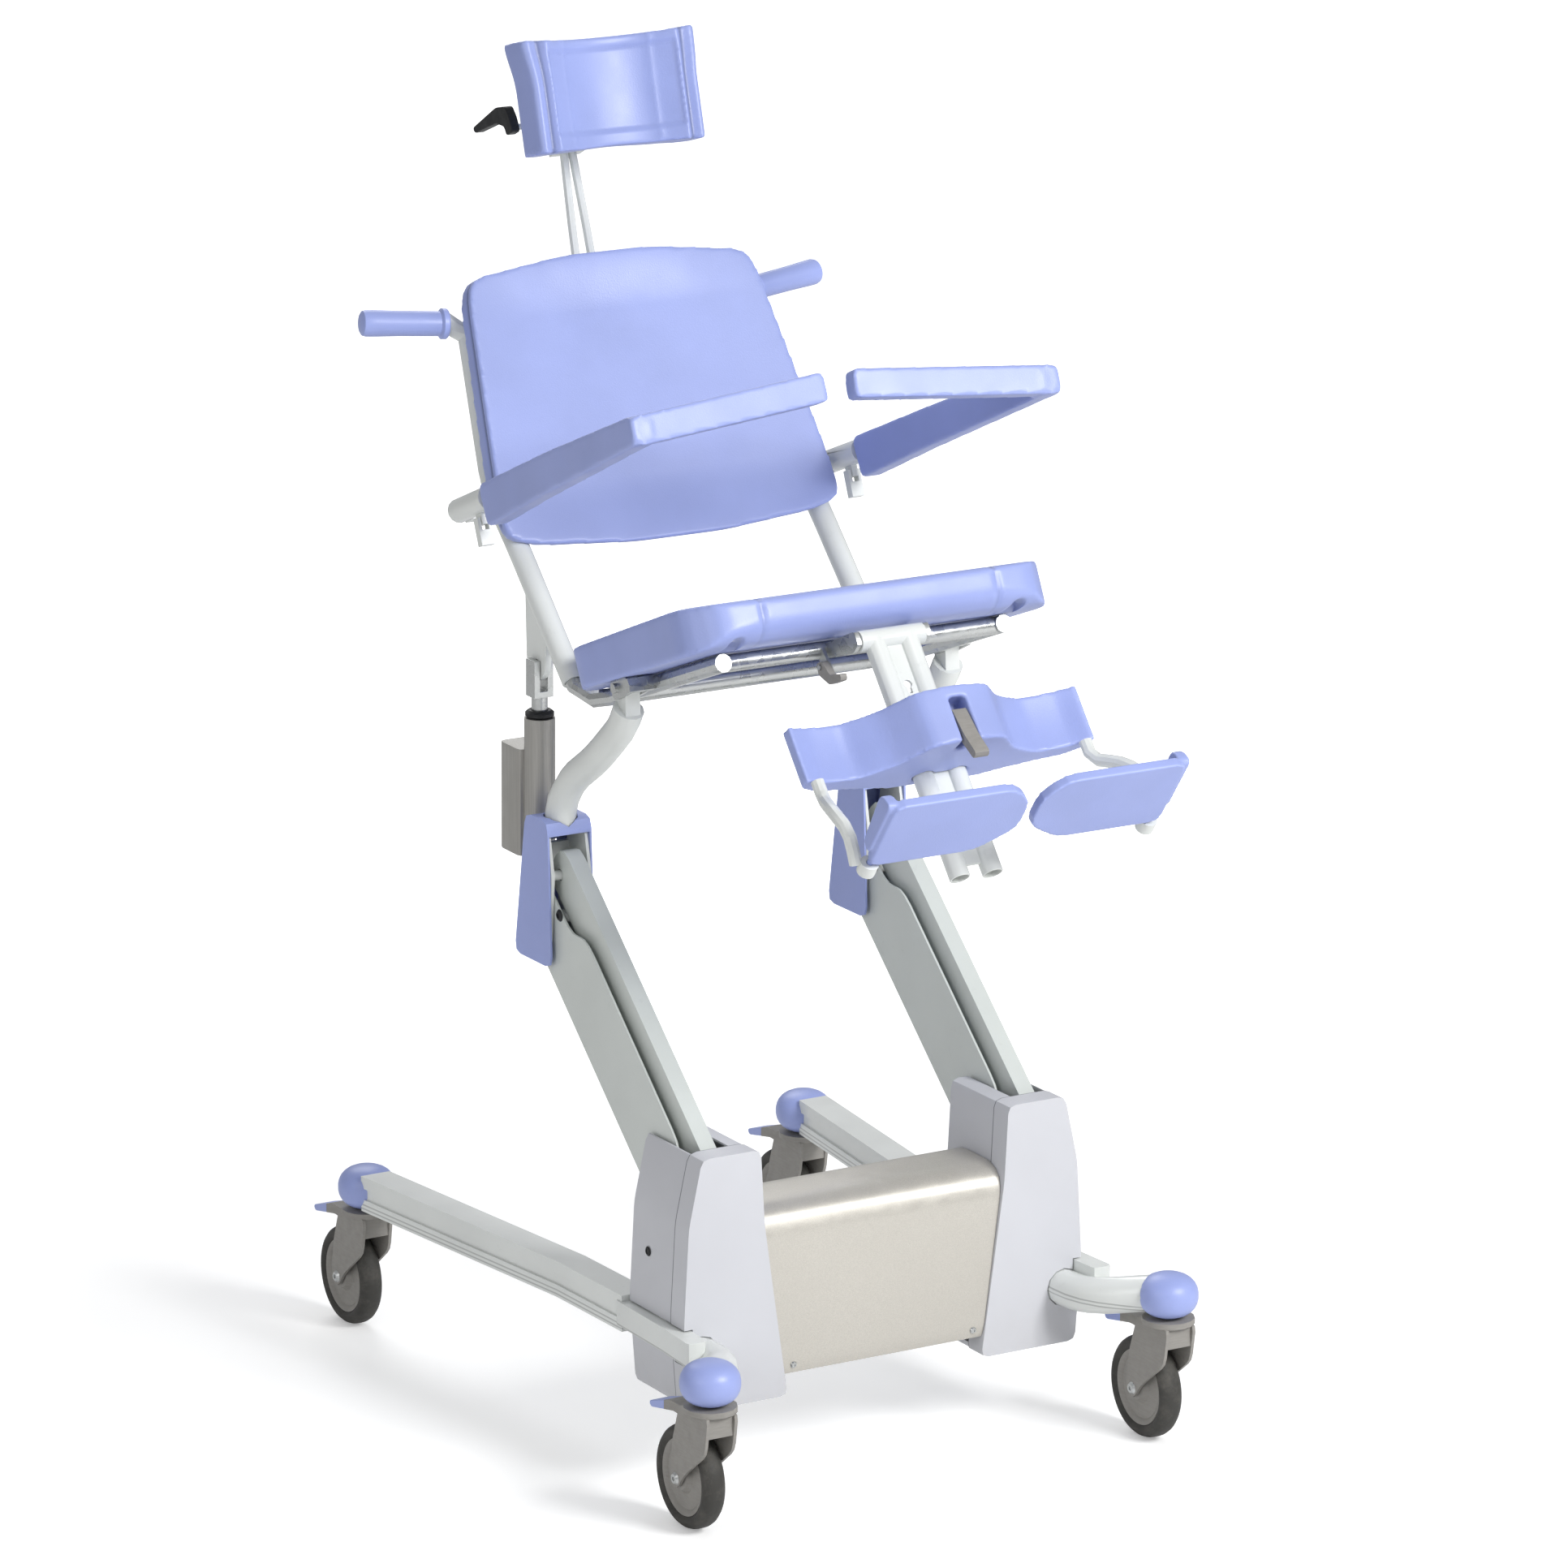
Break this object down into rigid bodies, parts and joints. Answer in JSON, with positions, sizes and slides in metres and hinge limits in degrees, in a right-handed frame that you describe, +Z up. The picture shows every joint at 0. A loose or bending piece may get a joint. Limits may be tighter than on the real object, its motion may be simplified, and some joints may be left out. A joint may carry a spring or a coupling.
{
  "type": "tilting hygiene chair lift",
  "caption": "Height-adjustable tilting hygiene chair on casters, with parallel lift arms, reclining seat unit, headrest, folding armrests and an adjustable leg rest.",
  "frame": {"origin": "middle of the base of the bounding box, on the floor", "axes": "+Z up; the occupant faces -Y; +X is the occupant's left"},
  "size_m": [0.7, 1.1882, 1.6166],
  "materials": {
    "blue_plastic": "satin moulded polyurethane",
    "white_plastic": "satin moulded plastic",
    "champagne_cover": "metallic champagne lacquer",
    "white_tube": "smooth powder coat",
    "caster_grey": "moulded nylon",
    "caster_tyre": "thermoplastic rubber",
    "black_plastic": "moulded plastic",
    "actuator_grey": "anodised",
    "bright_steel": "zinc plated"
  },
  "bodies": {
    "base": {"base_frame": "bright_steel", "front_cover": "champagne_cover", "battery_pack": "black_plastic", "lift_gearmotor": "bright_steel", "housing_front_left": "white_plastic", "housing_side_left": "white_plastic", "side_member_left": "white_tube", "housing_front_right": "white_plastic", "housing_side_right": "white_plastic", "side_member_right": "white_tube", "caster_cap_front_left": "blue_plastic", "caster_cap_front_right": "blue_plastic", "caster_cap_rear_left": "blue_plastic", "caster_cap_rear_right": "blue_plastic"},
    "lift_arms": {"lift_shaft": "bright_steel", "lift_arm_left": "white_tube", "lift_arm_right": "white_tube"},
    "parallel_links": {"parallel_link_left": "white_tube", "parallel_link_right": "white_tube"},
    "carriage": {"carriage_shell_left": "blue_plastic", "carriage_shell_right": "blue_plastic", "seat_post_left": "white_tube", "seat_post_right": "white_tube"},
    "tilt_actuator": {"tilt_actuator": "actuator_grey"},
    "actuator_rod": {"actuator_rod": "bright_steel"},
    "seat_unit": {"seat_frame": "bright_steel", "seat_pad": "blue_plastic", "back_frame": "white_tube", "backrest": "blue_plastic", "push_grip_left": "blue_plastic", "push_grip_right": "blue_plastic", "armrest_socket_left": "bright_steel", "armrest_socket_right": "bright_steel"},
    "armrest_left": {"armrest_left": "blue_plastic"},
    "armrest_latch_left": {"armrest_latch_left": "bright_steel"},
    "armrest_right": {"armrest_right": "blue_plastic"},
    "armrest_latch_right": {"armrest_latch_right": "bright_steel"},
    "headrest_stem": {"headrest_stem": "white_tube"},
    "headrest_pad": {"headrest_pad": "blue_plastic"},
    "headrest_lever": {"headrest_lever": "black_plastic"},
    "leg_rest": {"leg_tubes": "white_tube"},
    "leg_release_lever": {"leg_release_lever": "black_plastic"},
    "calf_unit": {"calf_pad": "blue_plastic", "foot_hanger_left": "white_tube", "foot_hanger_right": "white_tube"},
    "calf_lever": {"calf_lever": "black_plastic"},
    "footplate_left": {"footplate_left": "blue_plastic"},
    "footplate_right": {"footplate_right": "blue_plastic"},
    "caster_front_left": {"caster_fork_front_left": "caster_grey"},
    "wheel_front_left": {"caster_wheel_front_left": "caster_tyre"},
    "pedal_front_left": {"brake_pedal_front_left": "caster_grey"},
    "caster_front_right": {"caster_fork_front_right": "caster_grey"},
    "wheel_front_right": {"caster_wheel_front_right": "caster_tyre"},
    "pedal_front_right": {"brake_pedal_front_right": "caster_grey"},
    "caster_rear_left": {"caster_fork_rear_left": "caster_grey"},
    "wheel_rear_left": {"caster_wheel_rear_left": "caster_tyre"},
    "pedal_rear_left": {"brake_pedal_rear_left": "caster_grey"},
    "caster_rear_right": {"caster_fork_rear_right": "caster_grey"},
    "wheel_rear_right": {"caster_wheel_rear_right": "caster_tyre"},
    "pedal_rear_right": {"brake_pedal_rear_right": "caster_grey"}
  },
  "joints": [
    {"name": "lift", "type": "hinge", "parent": "base", "child": "lift_arms", "pos_m": [0, -0.18927, 0.3146], "axis": [1, 0, 0], "range_deg": [-63.4, 3.6]},
    {"name": "link_swing", "type": "hinge", "parent": "base", "child": "parallel_links", "pos_m": [0, -0.20681, 0.37198], "axis": [1, 0, 0], "range_deg": [-64, 4.2]},
    {"name": "carriage_level", "type": "hinge", "parent": "lift_arms", "child": "carriage", "pos_m": [0, 0.14078, 0.60558], "axis": [1, 0, 0], "range_deg": [-4.2, 64]},
    {"name": "tilt", "type": "hinge", "parent": "carriage", "child": "seat_unit", "pos_m": [0, -0.02527, 0.926], "axis": [1, 0, 0], "range_deg": [-4, 26]},
    {"name": "actuator_swing", "type": "hinge", "parent": "carriage", "child": "tilt_actuator", "pos_m": [-0.209, 0.21173, 0.64], "axis": [1, 0, 0], "range_deg": [-0.5, 1.5]},
    {"name": "actuator_stroke", "type": "slide", "parent": "tilt_actuator", "child": "actuator_rod", "axis": [0, -0.0144, 0.9999], "range_m": [-0.0175, 0.107]},
    {"name": "armrest_lift_left", "type": "hinge", "parent": "seat_unit", "child": "armrest_left", "pos_m": [0.258, 0.23907, 1.10526], "axis": [-0.0414, 0.9279, -0.3706], "range_deg": [0, 100]},
    {"name": "armrest_latch_turn_left", "type": "hinge", "parent": "seat_unit", "child": "armrest_latch_left", "pos_m": [0.25664, 0.26023, 1.07205], "axis": [0.9991, 0.0379, -0.0168], "range_deg": [-35, 35]},
    {"name": "armrest_lift_right", "type": "hinge", "parent": "seat_unit", "child": "armrest_right", "pos_m": [-0.258, 0.23907, 1.10526], "axis": [-0.0414, -0.9279, 0.3706], "range_deg": [0, 100]},
    {"name": "armrest_latch_turn_right", "type": "hinge", "parent": "seat_unit", "child": "armrest_latch_right", "pos_m": [-0.25664, 0.26023, 1.07205], "axis": [0.9991, -0.0379, 0.0168], "range_deg": [-35, 35]},
    {"name": "headrest_height", "type": "slide", "parent": "seat_unit", "child": "headrest_stem", "axis": [0, 0.2977, 0.9547], "range_m": [-0.02, 0.08]},
    {"name": "headrest_tilt", "type": "hinge", "parent": "headrest_stem", "child": "headrest_pad", "pos_m": [0, 0.50493, 1.49296], "axis": [1, 0, 0], "range_deg": [-25, 25]},
    {"name": "headrest_clamp", "type": "hinge", "parent": "headrest_stem", "child": "headrest_lever", "pos_m": [-0.032, 0.50493, 1.49296], "axis": [1, 0, 0], "range_deg": [0, 60]},
    {"name": "leg_rest_angle", "type": "hinge", "parent": "seat_unit", "child": "leg_rest", "pos_m": [0, -0.25595, 1.00736], "axis": [1, 0, 0], "range_deg": [-60, 12]},
    {"name": "leg_release", "type": "hinge", "parent": "seat_unit", "child": "leg_release_lever", "pos_m": [-0.0635, -0.21265, 0.97066], "axis": [1, 0, 0], "range_deg": [-20, 20]},
    {"name": "calf_height", "type": "slide", "parent": "leg_rest", "child": "calf_unit", "axis": [0, 0.6293, 0.7771], "range_m": [-0.06, 0.03]},
    {"name": "calf_clamp", "type": "hinge", "parent": "calf_unit", "child": "calf_lever", "pos_m": [0, -0.40749, 0.94735], "axis": [1, 0, 0], "range_deg": [-50, 0]},
    {"name": "footplate_fold_left", "type": "hinge", "parent": "calf_unit", "child": "footplate_left", "pos_m": [0.186, -0.52532, 0.83009], "axis": [0, 0.5976, -0.8018], "range_deg": [0, 90]},
    {"name": "footplate_fold_right", "type": "hinge", "parent": "calf_unit", "child": "footplate_right", "pos_m": [-0.186, -0.52532, 0.83009], "axis": [0, -0.5976, 0.8018], "range_deg": [0, 90]},
    {"name": "swivel_front_left", "type": "hinge", "parent": "base", "child": "caster_front_left", "pos_m": [0.314, -0.38227, 0.16], "axis": [0, 0, 1], "continuous": true},
    {"name": "roll_front_left", "type": "hinge", "parent": "caster_front_left", "child": "wheel_front_left", "pos_m": [0.314, -0.33627, 0.0625], "axis": [1, 0, 0], "continuous": true},
    {"name": "brake_front_left", "type": "hinge", "parent": "caster_front_left", "child": "pedal_front_left", "pos_m": [0.314, -0.35427, 0.143], "axis": [1, 0, 0], "range_deg": [-12, 0]},
    {"name": "swivel_front_right", "type": "hinge", "parent": "base", "child": "caster_front_right", "pos_m": [-0.314, -0.38227, 0.16], "axis": [0, 0, 1], "continuous": true},
    {"name": "roll_front_right", "type": "hinge", "parent": "caster_front_right", "child": "wheel_front_right", "pos_m": [-0.314, -0.33627, 0.0625], "axis": [1, 0, 0], "continuous": true},
    {"name": "brake_front_right", "type": "hinge", "parent": "caster_front_right", "child": "pedal_front_right", "pos_m": [-0.314, -0.35427, 0.143], "axis": [1, 0, 0], "range_deg": [-12, 0]},
    {"name": "swivel_rear_left", "type": "hinge", "parent": "base", "child": "caster_rear_left", "pos_m": [0.314, 0.47373, 0.16], "axis": [0, 0, 1], "continuous": true},
    {"name": "roll_rear_left", "type": "hinge", "parent": "caster_rear_left", "child": "wheel_rear_left", "pos_m": [0.314, 0.51973, 0.0625], "axis": [1, 0, 0], "continuous": true},
    {"name": "brake_rear_left", "type": "hinge", "parent": "caster_rear_left", "child": "pedal_rear_left", "pos_m": [0.314, 0.50173, 0.143], "axis": [1, 0, 0], "range_deg": [-12, 0]},
    {"name": "swivel_rear_right", "type": "hinge", "parent": "base", "child": "caster_rear_right", "pos_m": [-0.314, 0.47373, 0.16], "axis": [0, 0, 1], "continuous": true},
    {"name": "roll_rear_right", "type": "hinge", "parent": "caster_rear_right", "child": "wheel_rear_right", "pos_m": [-0.314, 0.51973, 0.0625], "axis": [1, 0, 0], "continuous": true},
    {"name": "brake_rear_right", "type": "hinge", "parent": "caster_rear_right", "child": "pedal_rear_right", "pos_m": [-0.314, 0.50173, 0.143], "axis": [1, 0, 0], "range_deg": [-12, 0]}
  ],
  "couplings": [
    {"joint": "link_swing", "follows": "lift", "ratio": 1},
    {"joint": "carriage_level", "follows": "lift", "ratio": -1},
    {"joint": "actuator_swing", "follows": "tilt", "ratio": 0.036},
    {"joint": "actuator_stroke", "follows": "tilt", "m_per_rad": 0.232}
  ]
}
